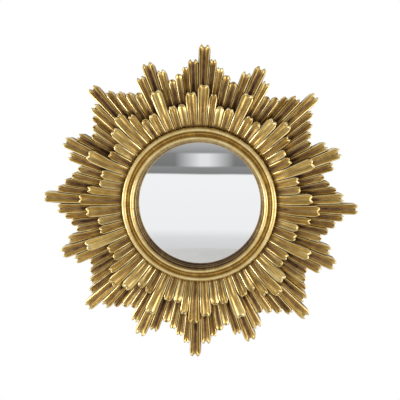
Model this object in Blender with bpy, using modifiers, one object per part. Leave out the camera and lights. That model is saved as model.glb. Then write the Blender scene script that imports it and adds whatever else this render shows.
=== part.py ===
"""Sunburst wall mirror with a convex glass.

Every piece is modelled lying on its back: X to the right, Y to the top of the mirror, Z out of the wall, and the
mirror's axis on the Z axis. An empty then turns the whole mirror upright and hangs it from the origin, which is
on the flat pad at its back, straight above the glass. Metres throughout.
"""
import math

import bmesh
import bpy

# The rays: how often the pattern repeats, and where its first ray starts, clockwise from the top
SECTORS = 8
BACK_TURN = math.radians(-0.45)
FRONT_TURN = math.radians(-0.65)

# The back tier, one sector clockwise: share of the sector, reach from the axis, lift, and whether the tip forks
BACK_RAYS = (
    (4.4, 0.2500, 0.0010, True),
    (3.0, 0.2285, 0.0000, False),
    (3.4, 0.2175, -0.0005, False),
    (3.4, 0.2080, 0.0010, False),
    (3.8, 0.2000, -0.0005, False),
    (4.2, 0.2205, 0.0010, True),
    (5.0, 0.2360, 0.0030, True),
    (3.8, 0.2195, 0.0010, True),
    (3.4, 0.2010, 0.0000, False),
    (3.4, 0.2075, 0.0010, False),
    (2.6, 0.2170, -0.0010, False),
    (4.4, 0.2275, 0.0020, True),
)

# The front tier in the same way
FRONT_RAYS = (
    (6.2, 0.1900, 0.0005, True),
    (4.4, 0.1770, 0.0000, True),
    (5.1, 0.1600, -0.0005, False),
    (5.9, 0.1610, 0.0005, True),
    (6.4, 0.1920, 0.0010, True),
    (5.4, 0.1620, 0.0005, True),
    (5.1, 0.1615, -0.0005, False),
    (6.4, 0.1785, 0.0005, True),
)

# The carving of a ray: its rims and edges as shares of its width, the depths of its flute and of the valleys
# beside it, both at the longest reach of its tier and less nearer the axis, and its tip
RIM_SHARE = 0.24
EDGE_SHARE = 0.03
FLUTE_DEPTH = 0.0022
BACK_VALLEY_DEPTH = 0.0055
FRONT_VALLEY_DEPTH = 0.0075
FORK_DEPTH = 0.0040
FORK_SHOULDER = 0.0045
ROUND_SHOULDER = 0.0042
ROUND_RIM_SETBACK = 0.0012
BACK_UNDERCUT = 0.0030
FRONT_UNDERCUT = 0.0070

# Heights of the two tiers above the wall
BACK_CREST_HEIGHT = 0.0245
BACK_CREST_RADIUS = 0.1650
BACK_TIP_DROP = 0.0135
BACK_ROOT_DROP = 0.0080
BACK_FALL_POWER = 1.35
RAY_BACK_HEIGHT = 0.0020
FRONT_CREST_HEIGHT = 0.0405
FRONT_CREST_RADIUS = 0.1500
FRONT_TIP_DROP = 0.0060
FRONT_ROOT_DROP = 0.0130
FRONT_FALL_POWER = 2.0

# The moulded ring round the glass
RING_RADIUS = 0.1226
OUTER_BEAD_RADIUS = 0.0040
OUTER_BEAD_HEIGHT = 0.0300
INNER_BEAD_RADIUS = 0.0032
INNER_BEAD_HEIGHT = 0.0322
COVE_WIDTH = 0.0055
COVE_DEPTH = 0.0030
BEAD_OVERHANG = 0.0030
REVEAL_WIDTH = 0.0017
REVEAL_HEIGHT = 0.0022
LIP_THICKNESS = 0.0020

# The glass, its board, and the pad at the back that lies on the wall
SIGHT_RADIUS = 0.1000
GLASS_RADIUS = 0.1020
GLASS_THICKNESS = 0.0030
GLASS_CURVE_RADIUS = 0.3110
GLASS_SEAT_HEIGHT = 0.0233
BOARD_THICKNESS = 0.0040
PAD_RADIUS = 0.1650
PAD_THICKNESS = 0.0060
FIT_GAP = 0.0003

# The hanger, a strap bent up from the board
STRAP_LENGTH = 0.0560
STRAP_WIDTH = 0.0120
STRAP_THICKNESS = 0.0015
STRAP_GAP = 0.0060
STRAP_FOOT = 0.0120
STRAP_SLOPE = 0.0060
STRAP_CENTRE = 0.0780

# Fineness of the facets
ROUND_STEPS = 44
BEAD_SEGMENTS = 4
COVE_SEGMENTS = 3
DOME_SEGMENTS = 4
MERGE_DISTANCE = 0.00001
FLAT_ANGLE = math.radians(0.05)

# Sizes that follow from the ones above
BACK_REACH = max(ray[1] for ray in BACK_RAYS)
FRONT_REACH = max(ray[1] for ray in FRONT_RAYS)
OUTER_BEAD_CENTRE = RING_RADIUS - OUTER_BEAD_RADIUS
INNER_BEAD_CENTRE = RING_RADIUS - 2 * OUTER_BEAD_RADIUS - COVE_WIDTH - INNER_BEAD_RADIUS
CORE_RADIUS = RING_RADIUS - BEAD_OVERHANG
REBATE_RADIUS = GLASS_RADIUS + FIT_GAP
ROOT_RADIUS = (REBATE_RADIUS + CORE_RADIUS) / 2
HANG_RISE = (REBATE_RADIUS + PAD_RADIUS) / 2
DOME_CENTRE_HEIGHT = GLASS_SEAT_HEIGHT - FIT_GAP - math.sqrt(GLASS_CURVE_RADIUS ** 2 - SIGHT_RADIUS ** 2)


def dome_height(radius, curve_radius):
    """Height of a dome of the given curve at a distance from the axis."""
    return DOME_CENTRE_HEIGHT + math.sqrt(curve_radius ** 2 - radius ** 2)


GLASS_BACK_RADIUS = GLASS_CURVE_RADIUS - GLASS_THICKNESS
BOARD_FRONT_HEIGHT = dome_height(GLASS_RADIUS, GLASS_BACK_RADIUS) - FIT_GAP
BOARD_BACK_HEIGHT = BOARD_FRONT_HEIGHT - BOARD_THICKNESS


def clear_scene():
    """Remove everything that the scene holds."""
    for old in list(bpy.data.objects):
        bpy.data.objects.remove(old, do_unlink=True)


def new_collection(name):
    """A collection of the scene."""
    group = bpy.data.collections.new(name)
    bpy.context.scene.collection.children.link(group)
    return group


def new_material(name, colour, roughness, metallic):
    """A plain finish."""
    material = bpy.data.materials.new(name)
    material.use_nodes = True
    shader = material.node_tree.nodes["Principled BSDF"]
    shader.inputs["Base Color"].default_value = (*colour, 1.0)
    shader.inputs["Roughness"].default_value = roughness
    shader.inputs["Metallic"].default_value = metallic
    return material


def new_piece(name, mesh, group, upright, material=None):
    """An object of the mirror, turned upright with the rest."""
    piece = bpy.data.objects.new(name, mesh)
    group.objects.link(piece)
    piece.parent = upright
    if material is not None:
        mesh.materials.append(material)
    return piece


def arc(centre_radius, centre_height, radius, start, end, segments):
    """Points along an arc, as distances from the axis and heights, with both ends."""
    points = []
    for i in range(segments + 1):
        angle = math.radians(start + (end - start) * i / segments)
        points.append((centre_radius + radius * math.cos(angle), centre_height + radius * math.sin(angle)))
    return points


def turned_mesh(name, profile, closed):
    """The mesh of a profile that a screw modifier turns round the axis."""
    edges = [(i, i + 1) for i in range(len(profile) - 1)]
    if closed:
        edges.append((len(profile) - 1, 0))
    mesh = bpy.data.meshes.new(name)
    mesh.from_pydata([(radius, 0.0, height) for radius, height in profile], edges, [])
    return mesh


def add_turning(piece, steps):
    """Turn a profile once round the axis."""
    screw = piece.modifiers.new("turning", "SCREW")
    screw.axis = "Z"
    screw.steps = steps
    screw.render_steps = steps
    screw.use_merge_vertices = True
    screw.merge_threshold = MERGE_DISTANCE
    screw.use_smooth_shade = True


def ring_profile():
    """Outline of the ring and the pad: over the two beads, down outside, back under the pad, up the rebate."""
    lip_height = GLASS_SEAT_HEIGHT + LIP_THICKNESS
    profile = [(SIGHT_RADIUS, lip_height), (SIGHT_RADIUS + REVEAL_WIDTH, lip_height + REVEAL_HEIGHT)]
    profile += arc(INNER_BEAD_CENTRE, INNER_BEAD_HEIGHT, INNER_BEAD_RADIUS, 180.0, 0.0, BEAD_SEGMENTS)
    cove_start = INNER_BEAD_CENTRE + INNER_BEAD_RADIUS
    for i in range(1, COVE_SEGMENTS):
        share = i / COVE_SEGMENTS
        slope = INNER_BEAD_HEIGHT + (OUTER_BEAD_HEIGHT - INNER_BEAD_HEIGHT) * share
        profile.append((cove_start + COVE_WIDTH * share, slope - COVE_DEPTH * math.sin(math.pi * share)))
    under_bead = -math.degrees(math.acos((CORE_RADIUS - OUTER_BEAD_CENTRE) / OUTER_BEAD_RADIUS))
    profile += arc(OUTER_BEAD_CENTRE, OUTER_BEAD_HEIGHT, OUTER_BEAD_RADIUS, 180.0, under_bead, BEAD_SEGMENTS + 1)
    profile += [(CORE_RADIUS, PAD_THICKNESS), (PAD_RADIUS, PAD_THICKNESS), (PAD_RADIUS, 0.0), (REBATE_RADIUS, 0.0)]
    profile += [(REBATE_RADIUS, GLASS_SEAT_HEIGHT), (SIGHT_RADIUS, GLASS_SEAT_HEIGHT)]
    return profile


def back_surface(radius):
    """Height of the back tier's rims: a straight rise from the ring to a crest, then a curve down to the tips."""
    offset = radius - BACK_CREST_RADIUS
    if offset > 0.0:
        share = offset / (BACK_REACH - BACK_CREST_RADIUS)
        return BACK_CREST_HEIGHT - BACK_TIP_DROP * share ** BACK_FALL_POWER
    return BACK_CREST_HEIGHT - BACK_ROOT_DROP * offset / (RING_RADIUS - BACK_CREST_RADIUS)


def front_surface(radius):
    """Height of the front tier's rims, which rise and fall in the same way."""
    offset = radius - FRONT_CREST_RADIUS
    if offset > 0.0:
        share = offset / (FRONT_REACH - FRONT_CREST_RADIUS)
        return FRONT_CREST_HEIGHT - FRONT_TIP_DROP * share ** FRONT_FALL_POWER
    return FRONT_CREST_HEIGHT - FRONT_ROOT_DROP * offset / (RING_RADIUS - FRONT_CREST_RADIUS)


def ray_lines(valley_depth, forked):
    """The five lines that run along a ray: share of its width, depth under the rims, and setback of the tip."""
    shoulder = FORK_SHOULDER if forked else ROUND_SHOULDER
    rim_setback = 0.0 if forked else ROUND_RIM_SETBACK
    flute_setback = FORK_DEPTH if forked else 0.0
    return (
        (EDGE_SHARE, valley_depth, shoulder),
        (RIM_SHARE, 0.0, rim_setback),
        (0.5, FLUTE_DEPTH, flute_setback),
        (1.0 - RIM_SHARE, 0.0, rim_setback),
        (1.0 - EDGE_SHARE, valley_depth, shoulder),
    )


def tier_sections(rays, turn, valley_depth, surface, crest, undercut, base_height):
    """Sections of a tier, clockwise round the mirror: each is an angle and its outline of radii and heights.

    A ray follows the tier's surface in two straight stretches that meet at its crest. Its flute and valleys deepen
    with the distance from the axis, as its width does, which keeps every facet flat.
    """
    sector = 2.0 * math.pi / SECTORS
    total = sum(ray[0] for ray in rays)
    longest = max(ray[1] for ray in rays)
    sections = []
    start = turn
    for _ in range(SECTORS):
        for share, reach, lift, forked in rays:
            width = sector * share / total
            crest_height = surface(crest) + lift
            fall = (surface(reach) + lift - crest_height) / (reach - crest)
            for across, depth, setback in ray_lines(valley_depth, forked):
                tip = reach - setback
                outline = [(ROOT_RADIUS, surface(ROOT_RADIUS) + lift - depth * ROOT_RADIUS / longest)]
                outline.append((crest, crest_height - depth * crest / longest))
                outline.append((tip, crest_height + fall * (tip - crest) - depth * tip / longest))
                outline += [(tip - undercut, base_height), (ROOT_RADIUS, base_height)]
                sections.append((start + width * across, outline))
            start += width
    return sections


def lofted_mesh(name, sections):
    """A closed body through sections that stand round the axis, each joined to the next and the last to the first."""
    shape = bmesh.new()
    rows = []
    for angle, outline in sections:
        row = [shape.verts.new((r * math.sin(angle), r * math.cos(angle), height)) for r, height in outline]
        rows.append(row)
    for i, row in enumerate(rows):
        following = rows[(i + 1) % len(rows)]
        for j in range(len(row)):
            k = (j + 1) % len(row)
            shape.faces.new((row[j], row[k], following[k], following[j]))
    bmesh.ops.recalc_face_normals(shape, faces=shape.faces)
    mesh = bpy.data.meshes.new(name)
    shape.to_mesh(mesh)
    shape.free()
    return mesh


def add_union(piece, other):
    """Fuse another body into a piece."""
    union = piece.modifiers.new("with " + other.name, "BOOLEAN")
    union.operation = "UNION"
    union.object = other
    other.hide_render = True
    other.display_type = "WIRE"


def make_frame(parts, cutters, upright):
    """The casting: the ring with its pad, and the two tiers of rays fused into it."""
    gold = new_material("antique_gold", (0.42, 0.29, 0.11), 0.38, 1.0)
    frame = new_piece("sunburst_frame", turned_mesh("ring", ring_profile(), True), parts, upright, gold)
    add_turning(frame, ROUND_STEPS)
    back = tier_sections(
        BACK_RAYS, BACK_TURN, BACK_VALLEY_DEPTH, back_surface, BACK_CREST_RADIUS, BACK_UNDERCUT, RAY_BACK_HEIGHT
    )
    back_tier = new_piece("back_tier", lofted_mesh("back_tier", back), cutters, upright)
    add_union(frame, back_tier)
    back_floor = back_surface(FRONT_REACH) - BACK_VALLEY_DEPTH
    buried_height = (RAY_BACK_HEIGHT + back_floor) / 2
    front = tier_sections(
        FRONT_RAYS, FRONT_TURN, FRONT_VALLEY_DEPTH, front_surface, FRONT_CREST_RADIUS, FRONT_UNDERCUT, buried_height
    )
    front_tier = new_piece("front_tier", lofted_mesh("front_tier", front), cutters, upright)
    add_union(frame, front_tier)
    flat = frame.modifiers.new("joined flat facets", "DECIMATE")
    flat.decimate_type = "DISSOLVE"
    flat.angle_limit = FLAT_ANGLE


def make_glass(parts, upright):
    """The convex glass: a thin dome between two concentric curves."""
    silver = new_material("silvered_glass", (0.85, 0.86, 0.86), 0.03, 1.0)
    radii = [GLASS_RADIUS * i / DOME_SEGMENTS for i in range(DOME_SEGMENTS + 1)]
    profile = [(radius, dome_height(radius, GLASS_CURVE_RADIUS)) for radius in radii]
    profile += [(radius, dome_height(radius, GLASS_BACK_RADIUS)) for radius in reversed(radii)]
    glass = new_piece("mirror_glass", turned_mesh("mirror_glass", profile, False), parts, upright, silver)
    add_turning(glass, ROUND_STEPS)


def make_board(parts, upright):
    """The round board that holds the glass in its rebate."""
    fibreboard = new_material("fibreboard", (0.30, 0.20, 0.12), 0.80, 0.0)
    profile = [(0.0, BOARD_FRONT_HEIGHT), (GLASS_RADIUS, BOARD_FRONT_HEIGHT)]
    profile += [(GLASS_RADIUS, BOARD_BACK_HEIGHT), (0.0, BOARD_BACK_HEIGHT)]
    board = new_piece("back_board", turned_mesh("back_board", profile, False), parts, upright, fibreboard)
    add_turning(board, ROUND_STEPS)


def make_strap(parts, upright):
    """The hanger: a strip with a foot at each end and a raised middle, solid towards the wall."""
    steel = new_material("zinc_plated_steel", (0.55, 0.56, 0.57), 0.35, 1.0)
    foot_height = BOARD_BACK_HEIGHT - FIT_GAP
    bridge_height = foot_height - STRAP_GAP
    half = STRAP_LENGTH / 2
    ends = [(half, foot_height), (half - STRAP_FOOT, foot_height)]
    ends.append((half - STRAP_FOOT - STRAP_SLOPE, bridge_height))
    line = [(-across, height) for across, height in ends] + list(reversed(ends))
    low = STRAP_CENTRE - STRAP_WIDTH / 2
    high = STRAP_CENTRE + STRAP_WIDTH / 2
    corners = [(x, y, height) for x, height in line for y in (low, high)]
    faces = [(2 * i, 2 * i + 1, 2 * i + 3, 2 * i + 2) for i in range(len(line) - 1)]
    mesh = bpy.data.meshes.new("hanger_strap")
    mesh.from_pydata(corners, [], faces)
    strap = new_piece("hanger_strap", mesh, parts, upright, steel)
    walls = strap.modifiers.new("thickness", "SOLIDIFY")
    walls.thickness = STRAP_THICKNESS
    walls.offset = 1.0
    walls.use_even_offset = True


def main():
    """Build the mirror."""
    clear_scene()
    parts = new_collection("sunburst_mirror")
    cutters = new_collection("fused_shapes")
    upright = bpy.data.objects.new("upright", None)
    parts.objects.link(upright)
    upright.location = (0.0, 0.0, -HANG_RISE)
    upright.rotation_euler = (math.radians(90.0), 0.0, 0.0)
    make_frame(parts, cutters, upright)
    make_glass(parts, upright)
    make_board(parts, upright)
    make_strap(parts, upright)


main()
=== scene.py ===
"""Sunburst wall mirror: the looks of the gilded casting, the convex glass and the plain back.

Metres throughout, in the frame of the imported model: X to the right, Z up, and the wall is the plane of X and
Z, with the mirror in front of it towards -Y. The mirror's axis is level, HANG_RISE under the origin.
"""
import math
from typing import NamedTuple

import bpy
import numpy as np
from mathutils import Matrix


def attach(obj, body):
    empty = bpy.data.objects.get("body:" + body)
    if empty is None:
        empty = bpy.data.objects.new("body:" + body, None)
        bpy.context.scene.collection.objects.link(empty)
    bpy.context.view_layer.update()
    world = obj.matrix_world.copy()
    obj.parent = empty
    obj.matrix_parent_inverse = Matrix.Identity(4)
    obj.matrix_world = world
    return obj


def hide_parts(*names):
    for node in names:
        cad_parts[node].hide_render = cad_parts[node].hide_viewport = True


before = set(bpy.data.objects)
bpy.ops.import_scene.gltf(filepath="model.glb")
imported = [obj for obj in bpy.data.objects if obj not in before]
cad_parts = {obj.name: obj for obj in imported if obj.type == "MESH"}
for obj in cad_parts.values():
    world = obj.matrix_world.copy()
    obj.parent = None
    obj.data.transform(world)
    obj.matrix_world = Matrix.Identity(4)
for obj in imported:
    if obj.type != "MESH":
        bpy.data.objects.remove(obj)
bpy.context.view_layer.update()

bl_info = {
    "name": "Sunburst wall mirror",
    "version": (1, 0, 0),
    "blender": (4, 5, 0),
    "location": "3D View > Sidebar > Mirror",
    "description": "Builds a gilded sunburst wall mirror with a convex glass",
    "category": "Object",
}

# The rays: how often the pattern repeats, and where its first ray starts, clockwise from the top
SECTORS = 8
BACK_TURN = math.radians(-0.45)
FRONT_TURN = math.radians(-0.65)

# The back tier, one sector clockwise: share of the sector, reach from the axis, lift, and how deeply the tip
# forks
BACK_RAYS = (
    (4.4, 0.2500, 0.0010, 1.0),
    (3.0, 0.2285, 0.0000, 0.6),
    (3.4, 0.2175, -0.0005, 0.5),
    (3.4, 0.2080, 0.0010, 0.3),
    (3.8, 0.2000, -0.0005, 0.0),
    (4.2, 0.2205, 0.0010, 1.0),
    (5.0, 0.2360, 0.0030, 1.0),
    (3.8, 0.2195, 0.0010, 0.9),
    (3.4, 0.2010, 0.0000, 0.1),
    (3.4, 0.2075, 0.0010, 0.1),
    (2.6, 0.2170, -0.0010, 0.3),
    (4.4, 0.2275, 0.0020, 1.0),
)

# The front tier in the same way
FRONT_RAYS = (
    (6.2, 0.1900, 0.0005, 1.0),
    (4.4, 0.1770, 0.0000, 1.0),
    (5.1, 0.1600, -0.0005, 0.2),
    (5.9, 0.1610, 0.0005, 0.7),
    (6.4, 0.1920, 0.0010, 1.0),
    (5.4, 0.1620, 0.0005, 0.8),
    (5.1, 0.1615, -0.0005, 0.2),
    (6.4, 0.1785, 0.0005, 1.0),
)

# Heights of the two tiers above the wall
BACK_CREST_HEIGHT = 0.0245
BACK_CREST_RADIUS = 0.1650
BACK_TIP_DROP = 0.0135
BACK_ROOT_DROP = 0.0080
BACK_FALL_POWER = 1.35
RAY_BACK_HEIGHT = 0.0020
FRONT_CREST_HEIGHT = 0.0405
FRONT_CREST_RADIUS = 0.1500
FRONT_TIP_DROP = 0.0060
FRONT_ROOT_DROP = 0.0130
FRONT_FALL_POWER = 2.0
CREST_ROUNDING = 0.0012

# The moulded ring round the glass
RING_RADIUS = 0.1226
OUTER_BEAD_RADIUS = 0.0040
OUTER_BEAD_HEIGHT = 0.0300
INNER_BEAD_RADIUS = 0.0032
INNER_BEAD_HEIGHT = 0.0322
COVE_WIDTH = 0.0055
COVE_DEPTH = 0.0030
BEAD_OVERHANG = 0.0030
LIP_ROUNDING = 0.0006
REVEAL_WIDTH = 0.0017
REVEAL_HEIGHT = 0.0022
LIP_THICKNESS = 0.0020

# The glass, its board, the pad that lies on the wall, and the hanger
SIGHT_RADIUS = 0.1000
GLASS_RADIUS = 0.1020
GLASS_THICKNESS = 0.0030
GLASS_CURVE_RADIUS = 0.3110
GLASS_SEAT_HEIGHT = 0.0233
BOARD_THICKNESS = 0.0040
BOARD_EDGE = 0.0004
PAD_RADIUS = 0.1650
PAD_THICKNESS = 0.0060
PAD_EDGE = 0.0010
FIT_GAP = 0.0003
STRAP_LENGTH = 0.0560
STRAP_WIDTH = 0.0120
STRAP_THICKNESS = 0.0015
STRAP_GAP = 0.0060
STRAP_FOOT = 0.0120
STRAP_SLOPE = 0.0060
STRAP_CENTRE = 0.0780
STRAP_EDGE = 0.0003

# The carving of a ray, across it from -1 to 1: the ridge inside a wide ray's rim, the points of a forked tip,
# the inner and outer side of the rims, the edges, and the lines that draw all of these
RIDGE_ACROSS = 0.50
POINT_ACROSS = 0.56
RIM_ACROSS = 0.75
WALL_ACROSS = 0.90
EDGE_ACROSS = 0.965
HALF_LINES = (0.0, 0.14, 0.27, 0.38, 0.45, 0.50, 0.56, 0.62, 0.68, 0.75, 0.83, 0.90, 0.965)

# The share of the valley's depth that a rim rounds off before the wall falls
RIM_ROUNDING = 0.12

# How a tier's rays end: how far the underside stands back from the tip, the stretch over which a ray draws in
# and by what share, how nearly the middle of its flute closes at the tip, and the length of that closing. The
# rest is wax: what the whole tier has, and what its flutes have at the ring and at the longest tip
BACK_ENDS = {
    "undercut": 0.0030,
    "taper": 0.0080,
    "draw": 0.14,
    "toe": 0.5,
    "lip": 0.0065,
    "tone": 0.02,
    "wax": (0.84, 0.76),
}
FRONT_ENDS = {
    "undercut": 0.0070,
    "taper": 0.0120,
    "draw": 0.16,
    "toe": 1.0,
    "lip": 0.0026,
    "tone": 0.0,
    "wax": (0.74, 0.42),
}

# Steps along a ray: shares of its way from the root to the last stretch, distances in that stretch before the
# tip starts to round over, and the angles of that rounding
BACK_STEPS = (0.0, 0.32, 0.48, 0.64, 0.78, 0.90, 1.0)
FRONT_STEPS = (0.0, 0.12, 0.26, 0.40, 0.55, 0.70, 0.85, 1.0)
LAST_STRETCH = (0.0090, 0.0060, 0.0040, 0.0024, 0.0012, 0.0)
NOSE_ANGLES = (24.0, 46.0, 68.0, 90.0)

# Steps round the axis, along the dome's outline and along each end of the strap
RING_STEPS = 256
DOME_STEPS = 128
FLOOR_STEPS = 96
DOME_RINGS = 26
STRAP_STEPS = 25

# The wax runs from 0 on a rubbed rim to 1 in a deep gap, and at this value no gold is left anywhere
FULL_WAX = 1.25

# Lengths over which the wax and the painted shade change: both fill the walls from the ring outwards and thin
# there towards the tip, the wax is rubbed off the flutes before the tip, and a painted shade deepens along the
# outline of the tier in front
WALL_WAX_AND_SHADE_START = 0.040
WALL_WAX_AND_SHADE_END = 0.030
TIP_RUB_LENGTH = 0.018
PAINTED_SHADE_LENGTH = 0.0018

# Sizes that follow from the ones above
BACK_REACH = max(ray[1] for ray in BACK_RAYS)
FRONT_REACH = max(ray[1] for ray in FRONT_RAYS)
BACK_FORM = (BACK_CREST_RADIUS, BACK_CREST_HEIGHT, BACK_ROOT_DROP, BACK_TIP_DROP, BACK_FALL_POWER, BACK_REACH)
FRONT_FORM = (
    FRONT_CREST_RADIUS, FRONT_CREST_HEIGHT, FRONT_ROOT_DROP, FRONT_TIP_DROP, FRONT_FALL_POWER, FRONT_REACH,
)
OUTER_BEAD_CENTRE = RING_RADIUS - OUTER_BEAD_RADIUS
INNER_BEAD_CENTRE = RING_RADIUS - 2 * OUTER_BEAD_RADIUS - COVE_WIDTH - INNER_BEAD_RADIUS
CORE_RADIUS = RING_RADIUS - BEAD_OVERHANG
REBATE_RADIUS = GLASS_RADIUS + FIT_GAP
ROOT_RADIUS = (REBATE_RADIUS + CORE_RADIUS) / 2
HANG_RISE = (REBATE_RADIUS + PAD_RADIUS) / 2
DOME_CENTRE_HEIGHT = GLASS_SEAT_HEIGHT - FIT_GAP - math.sqrt(GLASS_CURVE_RADIUS ** 2 - SIGHT_RADIUS ** 2)
GLASS_BACK_RADIUS = GLASS_CURVE_RADIUS - GLASS_THICKNESS
BOARD_FRONT_HEIGHT = DOME_CENTRE_HEIGHT + math.sqrt(GLASS_BACK_RADIUS ** 2 - GLASS_RADIUS ** 2) - FIT_GAP
BOARD_BACK_HEIGHT = BOARD_FRONT_HEIGHT - BOARD_THICKNESS

# The camera: where it stands as seen from the mirror's axis, and its lens
CAMERA_AZIMUTH = math.radians(4.0)
CAMERA_ELEVATION = math.radians(8.6)
CAMERA_DISTANCE = 2.35
CAMERA_LENS = 133.0
CAMERA_SHIFT = (-0.0006, 0.0050)

# The floor, under the mirror's axis
FLOOR_DROP = 0.70
FLOOR_RADIUS = 0.90
FLOOR_HOLE = 0.001

# Name, watts, size and place of each light
LIGHTS = (
    ("left_light", 11.5, 1.0, (-1.6, -0.75, -0.35)),
    ("right_light", 7.5, 0.9, (1.6, -0.85, -0.40)),
)

# The studio as the glass mirrors it, from low down at 0 to high up at 1: a pale floor and walls, then a grey
# ceiling with brighter bands, with the height of each and its grey
STUDIO_BANDS = (
    (0.0, 0.60),
    (0.20, 0.64),
    (0.32, 0.78),
    (0.37, 0.97),
    (0.665, 1.00),
    (0.672, 0.24),
    (0.705, 0.29),
    (0.712, 0.20),
    (0.775, 0.24),
    (0.785, 0.32),
    (0.83, 0.50),
    (0.85, 0.80),
    (1.0, 0.60),
)
STUDIO_BOW = 0.06

# The softbox in it: where its lower and upper edges begin and end in height, where its middle is from side to
# side, how far from there it begins and ends fading, and its grey
SOFTBOX_LOWER = (0.703, 0.712)
SOFTBOX_UPPER = (0.772, 0.782)
SOFTBOX_MIDDLE = 0.03
SOFTBOX_SIDES = (0.02, 0.16)
SOFTBOX_GREY = 0.86


def linear(code):
    """An sRGB hex colour as linear red, green and blue: c / 12.92 up to 0.04045, and above it
    ((c + 0.055) / 1.055) ** 2.4."""
    parts = np.array([int(code[i:i + 2], 16) for i in (1, 3, 5)]) / 255.0
    return tuple(np.where(parts <= 0.04045, parts / 12.92, ((parts + 0.055) / 1.055) ** 2.4))


def grey(value):
    """A linear grey with a trace of blue."""
    return value, value, value * 1.01


def ray_surface(radius, reach, form):
    """Height of a ray's rims along it: the softer minimum of two straight lines, m - sqrt(d ** 2 + c ** 2),
    where m is their mean, d is half their difference and c is the rounding.

    The first line rises from the ring to the tier's crest. The second falls from the crest to the height that
    the tier has at the ray's reach, which drops as a power of the share of the way to the tier's longest tip.
    """
    crest, height, root_drop, tip_drop, power, longest = form
    rise = height - root_drop * (radius - crest) / (RING_RADIUS - crest)
    drop = tip_drop * ((reach - crest) / (longest - crest)) ** power
    fall = height - drop * (radius - crest) / (reach - crest)
    return (rise + fall) / 2 - np.sqrt(((rise - fall) / 2) ** 2 + CREST_ROUNDING ** 2)


def place(angle, radius, height):
    """Points from clockwise angles, distances from the axis and heights above the wall."""
    x, y, z = np.broadcast_arrays(radius * np.sin(angle), -height, radius * np.cos(angle) - HANG_RISE)
    return np.stack((x, y, z), axis=-1)


class Tier(NamedTuple):
    """One tier of rays: its pattern and where that starts, the form of its crest, the steps along a ray, the
    height of the undersides, and the sizes of the carving."""

    rays: tuple
    turn: float
    form: tuple
    steps: tuple
    base: float
    sizes: dict


def ray_relief(across, wide):
    """Depth of the carving across a ray, as a share of its flute's depth, before the walls outside the rims.

    A narrow ray has one hollow flute between its rims: 1 - (u / rim) ** 2.2. A wide one has such a flute as
    far as a ridge, and between ridge and rim a groove that is a squared sine.
    """
    narrow = 1.0 - np.clip(across / RIM_ACROSS, 0.0, 1.0) ** 2.2
    middle = 1.0 - np.clip(across / RIDGE_ACROSS, 0.0, 1.0) ** 2.2
    side = np.clip((across - RIDGE_ACROSS) / (RIM_ACROSS - RIDGE_ACROSS), 0.0, 1.0)
    ridge = 0.12 * np.clip((RIM_ACROSS - across) / (RIM_ACROSS - RIDGE_ACROSS), 0.0, 1.0)
    double = 0.88 * middle + ridge + 0.45 * np.sin(np.pi * side) ** 2
    return wide * double + (1.0 - wide) * narrow


def tip_setback(across, fork, sizes):
    """How far each line of a ray stops short of its reach: between the two points of a fork a notch that is
    half a cosine wave on each side, and outside them shoulders that fall back as a power. A plain tip falls
    back as a power all the way."""
    notch = np.clip((POINT_ACROSS - across) / POINT_ACROSS, 0.0, 1.0) ** 1.2
    outside = np.clip((across - POINT_ACROSS) / (EDGE_ACROSS - POINT_ACROSS), 0.0, 1.0)
    forked = sizes["fork"] * 0.5 * (1.0 - np.cos(np.pi * notch)) + sizes["shoulder"] * outside ** 1.9
    return fork * forked + (1.0 - fork) * sizes["round"] * across ** 2.2


def ray_wax_and_shade(tier, radius, reach, relief, drop, outer):
    """Depth of the wax and the painted shade on a ray, which the gilding's colour follows.

    It grows with the carving, less so near the tip, where it is rubbed off. At the foot of the walls between
    rays it is wax and painted shade together, more away from the ring and less at the tips. Two sine waves set
    neighbouring rays apart.
    """
    sizes = tier.sizes
    # The walls' term is wax and painted shade together in the gaps between rays
    away = np.clip((radius - RING_RADIUS) / WALL_WAX_AND_SHADE_START, 0.5, 1.0)
    walls = away * np.clip((reach - radius) / WALL_WAX_AND_SHADE_END, 0.3, 1.0)
    flutes = np.interp(radius, (RING_RADIUS, tier.form[-1]), sizes["wax"])
    flutes = flutes * (1.0 - 0.35 * np.clip(1.0 - (reach - radius) / TIP_RUB_LENGTH, 0.0, 1.0))
    count = np.arange(len(reach))[:, None, None]
    uneven = 0.10 * np.sin(2.4 * count) + 0.07 * np.sin(5.1 * count + 1.0)
    return sizes["tone"] + flutes * relief ** 0.9 + 0.2 * drop + 0.95 * outer * walls + uneven


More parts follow.
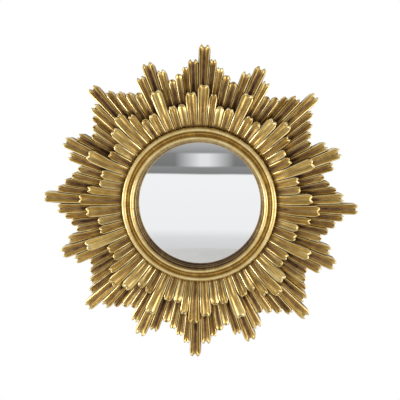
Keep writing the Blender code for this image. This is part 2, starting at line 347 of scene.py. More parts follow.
def tier_grid(tier, covered=None):
    """A tier of rays as a grid that closes both ways: one row for each line along a ray, one column for each
    step of its outline.

    Along a ray, the outline follows the tier's surface less the depth of the carving, rounds over the tip in
    a quarter of an ellipse, and runs back under the ray. Close to the tip the ray draws in, and the carving
    fades out. Outside the rims the surface rounds off a little, and then falls in a straight wall to the
    valley. Where the outline of a tier in front is given, a painted shade darkens the rays under it and just
    beyond it.
    """
    sizes = tier.sizes
    share, reach, lift, fork = (row[:, None, None] for row in np.array(tier.rays * SECTORS).T)
    width = 2.0 * np.pi * share / share.sum()
    centre = tier.turn + np.cumsum(width)[:, None, None] - width / 2
    across = np.array([-u for u in HALF_LINES[:0:-1]] + list(HALF_LINES))[None, :, None]
    out = np.abs(across)
    wide = np.clip(4.0 * fork - 0.6, 0.0, 1.0)
    outer = np.clip((out - WALL_ACROSS) / (EDGE_ACROSS - WALL_ACROSS), 0.0, 1.0)
    valley = np.interp(out, (RIM_ACROSS, WALL_ACROSS, EDGE_ACROSS), (0.0, sizes["rounding"], 1.0))
    tip = reach - tip_setback(out, fork, sizes)
    nose = sizes["nose"] * (0.4 + 0.6 * np.clip(out / POINT_ACROSS, 0.0, 1.0))

    turned = np.radians(NOSE_ANGLES)
    top = tip - nose - ROOT_RADIUS
    last = tip - nose - np.array(LAST_STRETCH)
    early = ROOT_RADIUS + (top - LAST_STRETCH[0]) * np.array(tier.steps[:-1])
    radius = np.concatenate((early, last, tip - nose + nose * np.sin(turned)), axis=2)
    drop = np.concatenate((np.zeros(len(tier.steps) - 1 + len(LAST_STRETCH)), 1.0 - np.cos(turned)))
    closed = np.clip(sizes["toe"] + (out - 0.10) / 0.25, 0.0, 1.0)
    fade = 1.0 - closed * (1.0 - np.clip((tip - nose - radius) / sizes["lip"], 0.0, 1.0) ** 0.6)
    relief = ray_relief(out, wide) * fade
    depth = (sizes["flute"] * relief + sizes["valley"] * valley) * radius / tier.rays[0][1]
    height = ray_surface(radius, reach, tier.form) + lift - depth
    height = height - drop * np.minimum(nose, 0.45 * (height - tier.base))

    foot = tip - sizes["undercut"]
    level = np.full_like(foot, tier.base)
    radius = np.concatenate((radius, foot, np.full_like(foot, ROOT_RADIUS)), axis=2)
    height = np.concatenate((height, level, level), axis=2)
    ahead = np.clip(1.0 - (reach - radius) / sizes["taper"], 0.0, 1.0)
    angle = centre + width / 2 * across * (1.0 - sizes["draw"] * ahead ** 2)

    shown = radius[:, :, :-2]
    hollow = ray_wax_and_shade(tier, shown, reach, relief, drop, outer)
    # Painted shade: rays are darker under the outline of the tier in front and just beyond it
    if covered is not None:
        edge = np.interp(angle[:, :, :-2], *covered, period=2.0 * np.pi)
        hollow = hollow + 0.45 * np.exp(-np.clip(shown - edge, 0.0, None) / PAINTED_SHADE_LENGTH)
    hollow = np.concatenate((hollow, np.full_like(radius[:, :, -2:], FULL_WAX)), axis=2)
    grids = np.broadcast_arrays(angle, radius, height, hollow)
    return tuple(grid.reshape(-1, radius.shape[2]) for grid in grids)


def tier_tips(tier):
    """The outline of a tier as seen from the front: the angle and the reach of each of its lines."""
    angle, radius, _, _ = tier_grid(tier)
    return angle[:, -3], radius[:, -3]


def arc(centre_radius, centre_height, radius, start, end, count):
    """Points along an arc in the plane of radius and height, its end left out."""
    turned = np.radians(np.linspace(start, end, count, endpoint=False))
    away, rise = radius * np.cos(turned), radius * np.sin(turned)
    return np.stack((centre_radius + away, centre_height + rise), axis=1)


def ring_grid():
    """The ring and the pad: a closed outline of radius and height, carried once round the axis.

    The outline runs over the lip at the glass, up the reveal, over the inner bead, through the cove as half a
    sine wave, over and under the outer bead, down the core, round the pad, and up the rebate. Each part has
    the wax of its first and last point; at the glass and at the top of the reveal that dark value is wax and
    painted shade together. On the inner side a painted shade darkens it where it faces up, towards the bottom,
    by the cosine of the way round.
    """
    lip = GLASS_SEAT_HEIGHT + LIP_THICKNESS
    under = -math.degrees(math.acos((CORE_RADIUS - OUTER_BEAD_CENTRE) / OUTER_BEAD_RADIUS))
    share = np.linspace(0.0, 1.0, 9)[1:-1]
    cove_start = INNER_BEAD_CENTRE + INNER_BEAD_RADIUS
    cove_height = INNER_BEAD_HEIGHT + (OUTER_BEAD_HEIGHT - INNER_BEAD_HEIGHT) * share
    cove_height = cove_height - COVE_DEPTH * np.sin(np.pi * share)
    cove = np.stack((cove_start + COVE_WIDTH * share, cove_height), axis=1)
    edge = (SIGHT_RADIUS + LIP_ROUNDING, lip - LIP_ROUNDING, LIP_ROUNDING)
    inner = (INNER_BEAD_CENTRE, INNER_BEAD_HEIGHT, INNER_BEAD_RADIUS)
    outer = (OUTER_BEAD_CENTRE, OUTER_BEAD_HEIGHT, OUTER_BEAD_RADIUS)
    # The dark values at the glass and at the top of the reveal are wax and painted shade together
    parts = (
        ([(SIGHT_RADIUS, GLASS_SEAT_HEIGHT), (SIGHT_RADIUS, lip - LIP_ROUNDING)], (0.9, 0.5)),
        (arc(*edge, 180.0, 110.0, 3), (0.12, 0.20)),
        ([(SIGHT_RADIUS + 0.7 * REVEAL_WIDTH, lip + 0.6 * REVEAL_HEIGHT)], (0.45, 0.45)),
        ([(SIGHT_RADIUS + REVEAL_WIDTH, lip + REVEAL_HEIGHT)], (0.90, 0.90)),
        (arc(*inner, 180.0, 90.0, 7), (0.40, 0.04)),
        (arc(*inner, 90.0, 0.0, 7), (0.05, 0.45)),
        (cove, (0.35, 0.35)),
        (arc(*outer, 180.0, 90.0, 8), (0.6, 0.08)),
        (arc(*outer, 90.0, 10.0, 8), (0.08, 0.25)),
        (arc(*outer, 10.0, under, 5), (0.4, 1.0)),
        ([(CORE_RADIUS, PAD_THICKNESS), (PAD_RADIUS - PAD_EDGE, PAD_THICKNESS)], (1.1, FULL_WAX)),
        ([(PAD_RADIUS, PAD_THICKNESS - PAD_EDGE), (PAD_RADIUS, 0.0)], (FULL_WAX, FULL_WAX)),
        ([(REBATE_RADIUS, 0.0), (REBATE_RADIUS, GLASS_SEAT_HEIGHT)], (FULL_WAX, FULL_WAX)),
    )
    radius, height = np.concatenate([np.array(points) for points, _ in parts]).T
    wax = np.concatenate([np.linspace(*ends, len(points)) for points, ends in parts])
    angle = np.linspace(0.0, 2.0 * np.pi, RING_STEPS, endpoint=False)[:, None]
    # Painted shade: the inner side of the ring is darker towards the bottom, by the cosine of the way round
    inner_side = np.clip((INNER_BEAD_CENTRE - radius) / INNER_BEAD_RADIUS, 0.0, 1.0)
    hollow = wax + 0.34 * inner_side * np.clip(-1.2 * np.cos(angle), 0.0, 1.0)
    return np.broadcast_arrays(angle, radius, height, hollow)


def closed_grid_faces(rows, cols):
    """Quads of a grid that closes both ways, as corner numbers of a grid with one more row and column."""
    i, j = np.meshgrid(np.arange(rows), np.arange(cols), indexing="ij")
    step = cols + 1
    first = i * step + j
    return np.stack((first, first + 1, first + step + 1, first + step), axis=-1).reshape(-1, 4)


def new_mesh(name, points, faces, hollow=None, flat=None):
    """A mesh of points and quads, and if given, with the wax at its points and a flat map in metres."""
    mesh = bpy.data.meshes.new(name)
    mesh.vertices.add(len(points))
    mesh.vertices.foreach_set("co", np.ascontiguousarray(points, dtype=np.float32).ravel())
    mesh.loops.add(faces.size)
    mesh.loops.foreach_set("vertex_index", faces.ravel().astype(np.int32))
    mesh.polygons.add(len(faces))
    mesh.polygons.foreach_set("loop_start", np.arange(0, faces.size, 4, dtype=np.int32))
    mesh.polygons.foreach_set("use_smooth", np.ones(len(faces), dtype=bool))
    mesh.update(calc_edges=True)
    if hollow is not None:
        layer = mesh.attributes.new("hollow", "FLOAT", "POINT")
        layer.data.foreach_set("value", hollow.astype(np.float32).ravel())
    if flat is not None:
        layer = mesh.uv_layers.new(name="flat")
        layer.data.foreach_set("uv", flat.astype(np.float32).ravel())
    return mesh


def spanned(points, quads):
    """Six times the volume between quads and the first point, positive where the quads face outward: the sum
    of a . (b x c) + a . (c x d), with a, b, c and d the corners of a quad."""
    a, b, c, d = (points[quads[:, k]] - points[0] for k in range(4))
    return np.einsum("ij,ij->i", a, np.cross(b, c)).sum() + np.einsum("ij,ij->i", a, np.cross(c, d)).sum()


def outward(points, quads):
    """The quads, turned round if they face inward."""
    return quads if spanned(points, quads) > 0.0 else quads[:, ::-1]


def grids_to_mesh(name, grids):
    """One mesh of several closed grids. Its flat map has the way round the axis and the distance from it."""
    points, faces, hollows, flats = [], [], [], []
    count = 0
    for angle, radius, height, hollow in grids:
        rows, cols = angle.shape
        i, j = np.divmod(closed_grid_faces(rows, cols), cols + 1)
        quads = (i % rows) * cols + j % cols
        spots = place(angle, radius, height).reshape(-1, 3)
        turned = outward(spots, quads)
        if turned is not quads:
            i = i[:, ::-1]
        around = angle.ravel()[turned] + 2.0 * np.pi * (i == rows)
        flats.append(np.stack((around * RING_RADIUS, radius.ravel()[turned]), axis=-1).reshape(-1, 2))
        points.append(spots)
        faces.append(turned + count)
        hollows.append(hollow.ravel())
        count += len(spots)
    arrays = (np.concatenate(a) for a in (points, faces, hollows, flats))
    return new_mesh(name, *arrays)


def new_piece(name, mesh, node, material):
    """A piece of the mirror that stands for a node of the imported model."""
    piece = bpy.data.objects.new(name, mesh)
    bpy.context.scene.collection.objects.link(piece)
    mesh.materials.append(material)
    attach(piece, "root")
    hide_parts(node)
    return piece


def turned_mesh(name, outline, steps):
    """A mesh of an outline of radius and height that starts and ends on the axis, carried once round it. The
    outline's first and last points become one point each, in the middle of a fan of triangles."""
    angle = np.linspace(0.0, 2.0 * np.pi, steps, endpoint=False)[:, None]
    radius, height = np.array(outline).T
    ring = place(angle, radius[1:-1], height[1:-1])
    cols = ring.shape[1]
    ends = place(np.zeros(2), np.zeros(2), height[[0, -1]])
    points = np.concatenate((ring.reshape(-1, 3), ends))
    i, j = np.meshgrid(np.arange(steps) * cols, np.arange(cols - 1), indexing="ij")
    after = (i + cols) % (steps * cols)
    quads = np.stack((i + j, i + j + 1, after + j + 1, after + j), axis=-1).reshape(-1, 4)
    here = np.arange(steps) * cols
    beyond = (here + cols) % (steps * cols)
    first = np.full(steps, steps * cols)
    low = np.stack((first, here, beyond), axis=1)
    high = np.stack((first + 1, beyond + cols - 1, here + cols - 1), axis=1)
    if spanned(points, quads) < 0.0:
        quads, low, high = quads[:, ::-1], low[:, ::-1], high[:, ::-1]
    mesh = bpy.data.meshes.new(name)
    mesh.from_pydata(points.tolist(), [], quads.tolist() + low.tolist() + high.tolist())
    mesh.polygons.foreach_set("use_smooth", np.ones(len(mesh.polygons), dtype=bool))
    mesh.update()
    return mesh


def add(tree, kind, inputs=(), stops=None, **settings):
    """A node with its settings, and with its inputs, by name or in their order, each set to a value or linked
    to another node's output. A map range's are the value, both ends before, and both ends after."""
    node = tree.nodes.new(kind)
    for name, value in settings.items():
        setattr(node, name, value)
    named = inputs if isinstance(inputs, dict) else dict(enumerate(inputs))
    for key, value in named.items():
        socket = node.inputs[key]
        if isinstance(value, bpy.types.NodeSocket):
            tree.links.new(value, socket)
        else:
            socket.default_value = value
    if stops:
        ramp = node.color_ramp
        for position, colour in stops[2:]:
            ramp.elements.new(position)
        for element, (position, colour) in zip(ramp.elements, stops):
            element.position = position
            element.color = (*colour, 1.0)
    return node


def new_material(name):
    """An empty node material and its tree, with the surface shader that the caller fills in."""
    material = bpy.data.materials.new(name)
    material.use_nodes = True
    tree = material.node_tree
    shader = tree.nodes["Principled BSDF"]
    return material, tree, shader


def antique_gilding(colours):
    """Gold leaf on a cast gesso body, burnished on the rims and toned with brown wax: warm satin metal whose
    high edges are pale, while the wax stays in the hollows as matt brown that turns nearly black."""
    material, tree, shader = new_material("antique_gilding")
    hollow = add(tree, "ShaderNodeAttribute", attribute_name="hollow").outputs["Fac"]
    flat = add(tree, "ShaderNodeUVMap", uv_map="flat").outputs["UV"]
    where = add(tree, "ShaderNodeTexCoord").outputs["Object"]

    # Wax drags along the ray in streaks 1.4 mm wide and eight times as long
    drawn = add(tree, "ShaderNodeMapping", {"Vector": flat, "Scale": (1.0, 0.12, 1.0)})
    streak = add(tree, "ShaderNodeTexNoise", {"Vector": drawn.outputs[0], "Scale": 700.0, "Detail": 3.0})
    # Rubbed patches are about 16 mm across
    patch = add(tree, "ShaderNodeTexNoise", {"Vector": where, "Scale": 62.0, "Detail": 2.0})
    # Tool marks and grain of the gesso, 0.8 mm apart
    grain = add(tree, "ShaderNodeTexNoise", {"Vector": where, "Scale": 1250.0, "Detail": 2.0})

    # Streaks and patches each move the wax by up to a quarter of its range
    uneven = add(tree, "ShaderNodeMath", (streak.outputs["Fac"], 0.50, -0.25), operation="MULTIPLY_ADD")
    mottled = add(tree, "ShaderNodeMath", (patch.outputs["Fac"], 0.50, -0.25), operation="MULTIPLY_ADD")
    both = add(tree, "ShaderNodeMath", (uneven.outputs[0], mottled.outputs[0]), operation="ADD")
    # The hollow attribute holds painted shade as well as wax, and both darken the gilding here
    wax = add(tree, "ShaderNodeMath", (hollow, both.outputs[0]), operation="ADD", use_clamp=True)

    stops = (
        (0.0, colours.burnished[:]),
        (0.22, colours.leaf[:]),
        (0.55, colours.toned[:]),
        (0.82, colours.wax[:]),
        (1.0, colours.recess[:]),
    )
    colour = add(tree, "ShaderNodeValToRGB", {"Fac": wax.outputs[0]}, stops)
    sheen = add(tree, "ShaderNodeMapRange", (wax.outputs[0], 0.45, 0.90, 1.0, 0.05))
    satin = add(tree, "ShaderNodeMapRange", (wax.outputs[0], 0.2, 1.0, 0.29, 0.70))
    coarse = {"Height": streak.outputs["Fac"], "Strength": 0.25, "Distance": 0.0004}
    bump = add(tree, "ShaderNodeBump", coarse)
    close = {"Height": grain.outputs["Fac"], "Normal": bump.outputs[0], "Strength": 0.15, "Distance": 0.0003}
    fine = add(tree, "ShaderNodeBump", close)
    shader.inputs["Specular IOR Level"].default_value = 0.15
    tree.links.new(colour.outputs["Color"], shader.inputs["Base Color"])
    tree.links.new(sheen.outputs[0], shader.inputs["Metallic"])
    tree.links.new(satin.outputs[0], shader.inputs["Roughness"])
    tree.links.new(fine.outputs[0], shader.inputs["Normal"])
    return material


def silvered_glass(colours):
    """Float glass bent to a dome and silvered behind: a clear mirror with a grey cast and slow waves."""
    material, tree, shader = new_material("silvered_glass")
    where = add(tree, "ShaderNodeTexCoord").outputs["Object"]
    # The bent glass waves slowly, about once in 60 mm
    wave = add(tree, "ShaderNodeTexNoise", {"Vector": where, "Scale": 16.0, "Detail": 0.0})
    # Faint haze in patches of 25 mm
    haze = add(tree, "ShaderNodeTexNoise", {"Vector": where, "Scale": 40.0, "Detail": 2.0})
    bump = add(tree, "ShaderNodeBump", {"Height": wave.outputs["Fac"], "Strength": 0.25, "Distance": 0.0004})
    satin = add(tree, "ShaderNodeMapRange", (haze.outputs["Fac"], 0.3, 0.8, 0.015, 0.05))
    shader.inputs["Base Color"].default_value = (*colours.silver[:], 1.0)
    shader.inputs["Metallic"].default_value = 1.0
    tree.links.new(satin.outputs[0], shader.inputs["Roughness"])
    tree.links.new(bump.outputs[0], shader.inputs["Normal"])
    return material


def pressed_fibreboard(colours):
    """Hardboard pressed from wood fibre: matt warm brown, with short pale and dark fibres."""
    material, tree, shader = new_material("pressed_fibreboard")
    where = add(tree, "ShaderNodeTexCoord").outputs["Object"]
    # Fibres are about 0.7 mm wide and 1.8 mm long here, coarser than real, so that they show
    longer = add(tree, "ShaderNodeMapping", {"Vector": where, "Scale": (1.0, 1.0, 0.4)})
    fibre = add(tree, "ShaderNodeTexNoise", {"Vector": longer.outputs[0], "Scale": 1400.0, "Detail": 4.0})
    # Clouds of darker board are about 22 mm across
    cloud = add(tree, "ShaderNodeTexNoise", {"Vector": where, "Scale": 45.0, "Detail": 2.0})
    both = add(tree, "ShaderNodeMath", (fibre.outputs["Fac"], cloud.outputs["Fac"]), operation="MULTIPLY")
    stops = ((0.10, linear("#4A3322")), (0.45, colours.fibreboard[:]))
    colour = add(tree, "ShaderNodeValToRGB", {"Fac": both.outputs[0]}, stops)
    bump = add(tree, "ShaderNodeBump", {"Height": fibre.outputs["Fac"], "Strength": 0.4, "Distance": 0.0003})
    satin = add(tree, "ShaderNodeMapRange", (fibre.outputs["Fac"], 0.3, 0.7, 0.72, 0.88))
    tree.links.new(colour.outputs["Color"], shader.inputs["Base Color"])
    tree.links.new(satin.outputs[0], shader.inputs["Roughness"])
    tree.links.new(bump.outputs[0], shader.inputs["Normal"])
    return material


def zinc_plated_steel(colours):
    """Rolled steel strip, bent and zinc plated: cool grey with fine rolling lines and a crystal mottle."""
    material, tree, shader = new_material("zinc_plated_steel")
    where = add(tree, "ShaderNodeTexCoord").outputs["Object"]
    # Rolling lines are 0.4 mm apart and run along the strip
    along = add(tree, "ShaderNodeMapping", {"Vector": where, "Scale": (0.05, 1.0, 1.0)})
    rolled = add(tree, "ShaderNodeTexNoise", {"Vector": along.outputs[0], "Scale": 2500.0, "Detail": 2.0})
    # Zinc crystals are 4 mm across
    crystal = add(tree, "ShaderNodeTexVoronoi", {"Vector": where, "Scale": 250.0})
    stops = ((0.0, linear("#8E9296")), (0.9, colours.zinc[:]))
    colour = add(tree, "ShaderNodeValToRGB", {"Fac": crystal.outputs["Distance"]}, stops)
    satin = add(tree, "ShaderNodeMapRange", (rolled.outputs["Fac"], 0.3, 0.7, 0.30, 0.48))
    bump = add(tree, "ShaderNodeBump", {"Height": rolled.outputs["Fac"], "Strength": 0.2, "Distance": 0.0001})
    shader.inputs["Metallic"].default_value = 1.0
    tree.links.new(colour.outputs["Color"], shader.inputs["Base Color"])
    tree.links.new(satin.outputs[0], shader.inputs["Roughness"])
    tree.links.new(bump.outputs[0], shader.inputs["Normal"])
    return material


def painted_floor():
    """Smooth boards painted off-white: pale and matt, with a slow change of tone."""
    material, tree, shader = new_material("painted_floor")
    where = add(tree, "ShaderNodeTexCoord").outputs["Object"]
    # The tone changes over about 170 mm
    soft = add(tree, "ShaderNodeTexNoise", {"Vector": where, "Scale": 6.0})
    stops = ((0.3, linear("#E4E3E1")), (0.7, linear("#ECEBE9")))
    tone = add(tree, "ShaderNodeValToRGB", {"Fac": soft.outputs["Fac"]}, stops)
    tree.links.new(tone.outputs["Color"], shader.inputs["Base Color"])
    shader.inputs["Roughness"].default_value = 0.9
    return material


def length(name, description, default):
    """A length property in metres."""
    return bpy.props.FloatProperty(
        name=name, description=description, default=default, min=0.0, soft_max=0.02, precision=4,
        subtype="DISTANCE", unit="LENGTH",
    )


def colour(name, description, code):
    """A colour property whose default is an sRGB hex value."""
    return bpy.props.FloatVectorProperty(
        name=name, description=description, default=linear(code), min=0.0, max=1.0, size=3, subtype="COLOR",
    )


class MirrorSizes(bpy.types.PropertyGroup):
    """Sizes of the carving that a user would change."""

    flute_depth: length("Flute depth", "Depth of the flute at the tip of a tier's first ray", 0.0034)
    back_valley: length("Back valley depth", "Depth of the gaps between the rays of the back tier", 0.0042)
    front_valley: length("Front valley depth", "Depth of the gaps between the rays of the front tier", 0.0050)
    back_fork: length("Back fork depth", "Depth of the notch in a forked tip of the back tier", 0.0048)
    front_fork: length("Front fork depth", "Depth of the notch in a forked tip of the front tier", 0.0022)
    back_shoulder: length("Back shoulder", "Fall of the corners of a forked tip of the back tier", 0.0065)
    front_shoulder: length("Front shoulder", "Fall of the corners of a forked tip of the front tier", 0.0085)
    round_shoulder: length("Round shoulder", "How far the corners of a round tip fall back", 0.0042)
    nose: length("Tip rounding", "Length over which a tip rounds over", 0.0022)


class MirrorColours(bpy.types.PropertyGroup):
    """Colours of the finishes that a user would change."""

    burnished: colour("Burnished gold", "Gold on the rims, where it is rubbed brightest", "#E9D6A0")
    leaf: colour("Gold leaf", "Gold on the open surfaces", "#D2B570")
    toned: colour("Toned gold", "Gold under a thin coat of wax", "#A3854E")
    wax: colour("Wax", "Brown wax in the hollows", "#6F5138")
    recess: colour("Recess", "Wax in the deepest gaps", "#3A2716")
    silver: colour("Silvering", "Tint of the silvered glass", "#F0F1F1")
    fibreboard: colour("Fibreboard", "Board behind the glass", "#8A6A48")
    zinc: colour("Zinc", "Hanger", "#B9BDC0")
    background: colour("Background", "Studio background and floor", "#FFFFFF")


class MIRROR_OT_gilded_casting(bpy.types.Operator):
    """Build the gilded casting: the ring with its pad and the two tiers of rays"""

    bl_idname = "mirror.gilded_casting"
    bl_label = "Gilded casting"

    def execute(self, context):
        sizes = context.scene.mirror_sizes
        colours = context.scene.mirror_colours
        shared = {
            "flute": sizes.flute_depth,
            "rounding": RIM_ROUNDING,
            "round": sizes.round_shoulder,
            "nose": sizes.nose,
        }
        back = dict(shared, valley=sizes.back_valley, fork=sizes.back_fork, shoulder=sizes.back_shoulder)
        back.update(BACK_ENDS)
        front = dict(shared, valley=sizes.front_valley, fork=sizes.front_fork, shoulder=sizes.front_shoulder)
        front.update(FRONT_ENDS)
        # The front rays' undersides lie halfway down inside the back rays, measured at the longest front tip
        share = (FRONT_REACH - BACK_CREST_RADIUS) / (BACK_REACH - BACK_CREST_RADIUS)
        back_floor = BACK_CREST_HEIGHT - BACK_TIP_DROP * share ** BACK_FALL_POWER - sizes.back_valley
        buried = (RAY_BACK_HEIGHT + back_floor) / 2
        back_tier = Tier(BACK_RAYS, BACK_TURN, BACK_FORM, BACK_STEPS, RAY_BACK_HEIGHT, back)
        front_tier = Tier(FRONT_RAYS, FRONT_TURN, FRONT_FORM, FRONT_STEPS, buried, front)
        grids = [ring_grid(), tier_grid(back_tier, tier_tips(front_tier)), tier_grid(front_tier)]
        mesh = grids_to_mesh("gilded_casting", grids)
        mesh.set_sharp_from_angle(angle=math.radians(50.0))
        new_piece("gilded_casting", mesh, "sunburst_frame", antique_gilding(colours))
        return {"FINISHED"}


class MIRROR_OT_convex_glass(bpy.types.Operator):
    """Build the convex glass"""

    bl_idname = "mirror.convex_glass"
    bl_label = "Convex glass"

    def execute(self, context):
        # Both faces are parts of spheres, sqrt(R ** 2 - r ** 2) above their centre at a distance r from the
        # axis, with rings that lie closer towards the edge
        radius = GLASS_RADIUS * np.sin(np.linspace(0.0, 1.0, DOME_RINGS) * math.pi / 2)
        front = DOME_CENTRE_HEIGHT + np.sqrt(GLASS_CURVE_RADIUS ** 2 - radius ** 2)
        back = DOME_CENTRE_HEIGHT + np.sqrt(GLASS_BACK_RADIUS ** 2 - radius ** 2)
        outline = np.concatenate((np.stack((radius, front), axis=1), np.stack((radius, back), axis=1)[::-1]))
        mesh = turned_mesh("silvered_dome", outline, DOME_STEPS)
        mesh.set_sharp_from_angle(angle=math.radians(40.0))
        material = silvered_glass(context.scene.mirror_colours)
        new_piece("silvered_dome", mesh, "mirror_glass", material)
        return {"FINISHED"}


class MIRROR_OT_back_board(bpy.types.Operator):
    """Build the board behind the glass"""

    bl_idname = "mirror.back_board"
    bl_label = "Back board"

    def execute(self, context):
        outline = (
            (0.0, BOARD_FRONT_HEIGHT),
            (GLASS_RADIUS - BOARD_EDGE, BOARD_FRONT_HEIGHT),
            (GLASS_RADIUS, BOARD_FRONT_HEIGHT - BOARD_EDGE),
            (GLASS_RADIUS, BOARD_BACK_HEIGHT + BOARD_EDGE),
            (GLASS_RADIUS - BOARD_EDGE, BOARD_BACK_HEIGHT),
            (0.0, BOARD_BACK_HEIGHT),
        )
        board = turned_mesh("fibreboard_disc", outline, DOME_STEPS)
        board.set_sharp_from_angle(angle=math.radians(30.0))
        material = pressed_fibreboard(context.scene.mirror_colours)
        new_piece("fibreboard_disc", board, "back_board", material)
        return {"FINISHED"}


class MIRROR_OT_hanger(bpy.types.Operator):
    """Build the hanger, with its edges slightly rounded"""

    bl_idname = "mirror.hanger"
    bl_label = "Hanger"

    def execute(self, context):
        material = zinc_plated_steel(context.scene.mirror_colours)
        hanger = new_piece("bent_strap", strap_mesh(), "hanger_strap", material)
        rounding = hanger.modifiers.new("worn edges", "BEVEL")
        rounding.width = STRAP_EDGE
        rounding.segments = 2
        rounding.limit_method = "ANGLE"
        rounding.angle_limit = math.radians(60.0)
        return {"FINISHED"}


def strap_mesh():
    """The hanger: a strip whose middle line has two feet and a raised bridge, joined by two slopes that ease
    in and out as a cosine, with its thickness square to that line."""
    foot = BOARD_BACK_HEIGHT - FIT_GAP - STRAP_THICKNESS / 2
    half = STRAP_LENGTH / 2
    inner = half - STRAP_FOOT - STRAP_SLOPE
    right = np.linspace(inner, half, STRAP_STEPS)
    across = np.concatenate((-right[::-1], right))
    along = np.clip((np.abs(across) - inner) / STRAP_SLOPE, 0.0, 1.0)
    height = foot - STRAP_GAP * 0.5 * (1.0 + np.cos(np.pi * along))
    slope = np.gradient(height, across)
    steep = np.sqrt(1.0 + slope ** 2)
    offset = STRAP_THICKNESS / 2 * np.stack((-slope / steep, 1.0 / steep), axis=1)
    line = np.stack((across, height), axis=1)
    sides = np.concatenate((line + offset, (line - offset)[::-1]))
    count = len(sides)
    edges = STRAP_CENTRE - HANG_RISE + np.array((-0.5, 0.5)) * STRAP_WIDTH
    x, y, z = np.broadcast_arrays(sides[:, 0], -sides[:, 1], edges[:, None])
    points = np.stack((x, y, z), axis=-1).reshape(-1, 3)
    k = np.arange(count)
    after = (k + 1) % count
    walls = np.stack((k, after, after + count, k + count), axis=1)
    s = np.arange(count // 2 - 1)
    cap = np.stack((s, count - 1 - s, count - 2 - s, s + 1), axis=1)
    faces = np.concatenate((walls, cap, cap[:, ::-1] + count))
    mesh = new_mesh("bent_strap", points, outward(points, faces))
    mesh.set_sharp_from_angle(angle=math.radians(40.0))
    return mesh


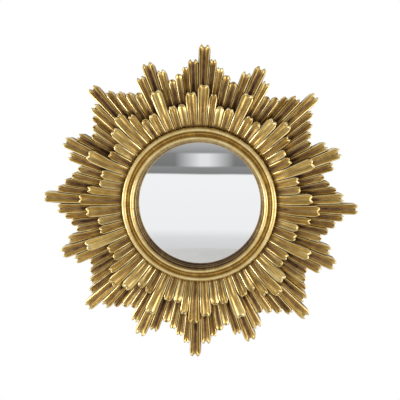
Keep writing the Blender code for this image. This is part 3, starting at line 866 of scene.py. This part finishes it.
class MIRROR_OT_studio(bpy.types.Operator):
    """Build the plain studio: pale floor, soft lights and the camera"""

    bl_idname = "mirror.studio"
    bl_label = "Studio"

    def execute(self, context):
        scene = context.scene
        scene.view_settings.view_transform = "Standard"
        floor = bpy.data.objects.new("floor", floor_mesh())
        scene.collection.objects.link(floor)
        floor.data.materials.append(painted_floor())
        self.world(scene)
        self.lights(scene)
        self.camera(scene)
        return {"FINISHED"}

    def world(self, scene):
        """Surroundings that depend on the direction alone: white behind the mirror, in front of it the studio
        that the glass mirrors, and between them the same studio, darker above and brighter at the sides."""
        world = bpy.data.worlds.new("studio")
        scene.world = world
        world.use_nodes = True
        tree = world.node_tree
        way = add(tree, "ShaderNodeTexCoord").outputs["Generated"]
        aim = add(tree, "ShaderNodeSeparateXYZ", (way,))
        studio = self.mirrored_studio(tree, way)

        # Past what the glass mirrors, the studio is dimmed above and brightened at the sides
        above = add(tree, "ShaderNodeMapRange", (aim.outputs["Z"], -0.2, 0.3, 1.0, 0.26))
        side = add(tree, "ShaderNodeMath", (aim.outputs["X"],), operation="ABSOLUTE")
        level = add(tree, "ShaderNodeMapRange", (side.outputs[0], 0.1, 0.8, above.outputs[0], 1.4))
        beside = add(tree, "ShaderNodeMapRange", (aim.outputs["Y"], -0.74, -0.35, 1.0, level.outputs[0]))
        shaded = add(tree, "ShaderNodeMix", {"Factor": 1.0}, data_type="RGBA", blend_type="MULTIPLY")
        tree.links.new(studio, shaded.inputs["A"])
        tree.links.new(beside.outputs[0], shaded.inputs["B"])

        behind = add(tree, "ShaderNodeMapRange", (aim.outputs["Y"], 0.2, 0.5, 0.0, 1.0))
        mixed = add(tree, "ShaderNodeMix", {"Factor": behind.outputs[0]}, data_type="RGBA")
        tree.links.new(shaded.outputs["Result"], mixed.inputs["A"])
        mixed.inputs["B"].default_value = (*scene.mirror_colours.background[:], 1.0)
        tree.links.new(mixed.outputs["Result"], tree.nodes["Background"].inputs["Color"])

    def mirrored_studio(self, tree, way):
        """Level bands of grey and a softbox, as they look in the glass.

        The dome mirrors a direction where its face points halfway between that direction and the camera, so
        all of it is drawn over the direction less the line of sight, brought to length one. That way it comes
        out undistorted in the glass.
        """
        sight = (
            -math.sin(CAMERA_AZIMUTH) * math.cos(CAMERA_ELEVATION),
            math.cos(CAMERA_AZIMUTH) * math.cos(CAMERA_ELEVATION),
            -math.sin(CAMERA_ELEVATION),
        )
        across = add(tree, "ShaderNodeVectorMath", (way, sight), operation="SUBTRACT")
        tilt = add(tree, "ShaderNodeVectorMath", (across.outputs[0],), operation="NORMALIZE")
        parts = add(tree, "ShaderNodeSeparateXYZ", (tilt.outputs[0],))
        x = parts.outputs["X"]
        rise = add(tree, "ShaderNodeMapRange", (parts.outputs["Z"], -0.5, 0.5, 0.0, 1.0))

        # The camera is near, so a level band needs a little bow to look straight
        square = add(tree, "ShaderNodeMath", (x, x), operation="MULTIPLY")
        bow = (square.outputs[0], STUDIO_BOW, rise.outputs[0])
        bowed = add(tree, "ShaderNodeMath", bow, operation="MULTIPLY_ADD")
        stops = [(height, grey(value)) for height, value in STUDIO_BANDS]
        bands = add(tree, "ShaderNodeValToRGB", {"Fac": bowed.outputs[0]}, stops)

        # The softbox hangs above the camera, sharp above and below and fading to both sides
        lower = add(tree, "ShaderNodeMapRange", (rise.outputs[0], *SOFTBOX_LOWER, 0.0, 1.0))
        upper = add(tree, "ShaderNodeMapRange", (rise.outputs[0], *SOFTBOX_UPPER, 1.0, 0.0))
        off = add(tree, "ShaderNodeMath", (x, SOFTBOX_MIDDLE), operation="SUBTRACT")
        far = add(tree, "ShaderNodeMath", (off.outputs[0],), operation="ABSOLUTE")
        wide = add(tree, "ShaderNodeMapRange", (far.outputs[0], *SOFTBOX_SIDES, 1.0, 0.0))
        tall = add(tree, "ShaderNodeMath", (lower.outputs[0], upper.outputs[0]), operation="MULTIPLY")
        box = add(tree, "ShaderNodeMath", (tall.outputs[0], wide.outputs[0]), operation="MULTIPLY")
        studio = add(tree, "ShaderNodeMix", {"Factor": box.outputs[0]}, data_type="RGBA")
        tree.links.new(bands.outputs["Color"], studio.inputs["A"])
        studio.inputs["B"].default_value = (*grey(SOFTBOX_GREY), 1.0)
        return studio.outputs["Result"]

    def lights(self, scene):
        """A broad soft light at the left and a weaker one at the right, both aimed at the mirror."""
        for name, power, size, spot in LIGHTS:
            lamp = bpy.data.lights.new(name, "AREA")
            lamp.shape = "DISK"
            lamp.energy = power
            lamp.size = size
            holder = bpy.data.objects.new(name, lamp)
            scene.collection.objects.link(holder)
            holder.location = spot
            x, y, z = spot[0], spot[1], spot[2] + HANG_RISE
            holder.rotation_euler = (math.atan2(math.hypot(x, y), z), 0.0, math.atan2(x, -y))

    def camera(self, scene):
        """A long lens that looks at the mirror's axis from a little to the right and above."""
        lens = bpy.data.cameras.new("camera")
        lens.sensor_width = 36.0
        lens.lens = CAMERA_LENS
        lens.shift_x, lens.shift_y = CAMERA_SHIFT
        camera = bpy.data.objects.new("camera", lens)
        scene.collection.objects.link(camera)
        out = CAMERA_DISTANCE * math.cos(CAMERA_ELEVATION)
        x, y = out * math.sin(CAMERA_AZIMUTH), -out * math.cos(CAMERA_AZIMUTH)
        camera.location = (x, y, CAMERA_DISTANCE * math.sin(CAMERA_ELEVATION) - HANG_RISE)
        camera.rotation_euler = (math.pi / 2 - CAMERA_ELEVATION, 0.0, CAMERA_AZIMUTH)
        scene.camera = camera


def floor_mesh():
    """A round floor under the mirror: a disc of quads between its edge and a tiny hole in the middle."""
    turn = np.linspace(0.0, 2.0 * np.pi, FLOOR_STEPS, endpoint=False)
    level = np.full_like(turn, -HANG_RISE - FLOOR_DROP)
    around = np.stack((np.cos(turn), np.sin(turn)), axis=1)
    rings = [np.column_stack((radius * around, level)) for radius in (FLOOR_HOLE, FLOOR_RADIUS)]
    k = np.arange(FLOOR_STEPS)
    after = (k + 1) % FLOOR_STEPS
    quads = np.stack((k, k + FLOOR_STEPS, after + FLOOR_STEPS, after), axis=1)
    return new_mesh("floor", np.concatenate(rings), quads)


class MIRROR_PT_panel(bpy.types.Panel):
    """The mirror's sizes, colours and operators"""

    bl_label = "Sunburst mirror"
    bl_idname = "MIRROR_PT_panel"
    bl_space_type = "VIEW_3D"
    bl_region_type = "UI"
    bl_category = "Mirror"

    def draw(self, context):
        for group in (context.scene.mirror_sizes, context.scene.mirror_colours):
            box = self.layout.box()
            for name in type(group).__annotations__:
                box.prop(group, name)
        for operator in OPERATORS:
            self.layout.operator(operator.bl_idname)


OPERATORS = (
    MIRROR_OT_gilded_casting,
    MIRROR_OT_convex_glass,
    MIRROR_OT_back_board,
    MIRROR_OT_hanger,
    MIRROR_OT_studio,
)
CLASSES = (MirrorSizes, MirrorColours) + OPERATORS + (MIRROR_PT_panel,)


def register():
    """Add the classes and their properties."""
    for item in CLASSES:
        bpy.utils.register_class(item)
    bpy.types.Scene.mirror_sizes = bpy.props.PointerProperty(type=MirrorSizes)
    bpy.types.Scene.mirror_colours = bpy.props.PointerProperty(type=MirrorColours)


def unregister():
    """Remove the classes and their properties."""
    del bpy.types.Scene.mirror_colours
    del bpy.types.Scene.mirror_sizes
    for item in reversed(CLASSES):
        bpy.utils.unregister_class(item)


def main():
    """Build the whole scene."""
    register()
    bpy.ops.mirror.gilded_casting()
    bpy.ops.mirror.convex_glass()
    bpy.ops.mirror.back_board()
    bpy.ops.mirror.hanger()
    bpy.ops.mirror.studio()


if __name__ == "__main__":
    main()
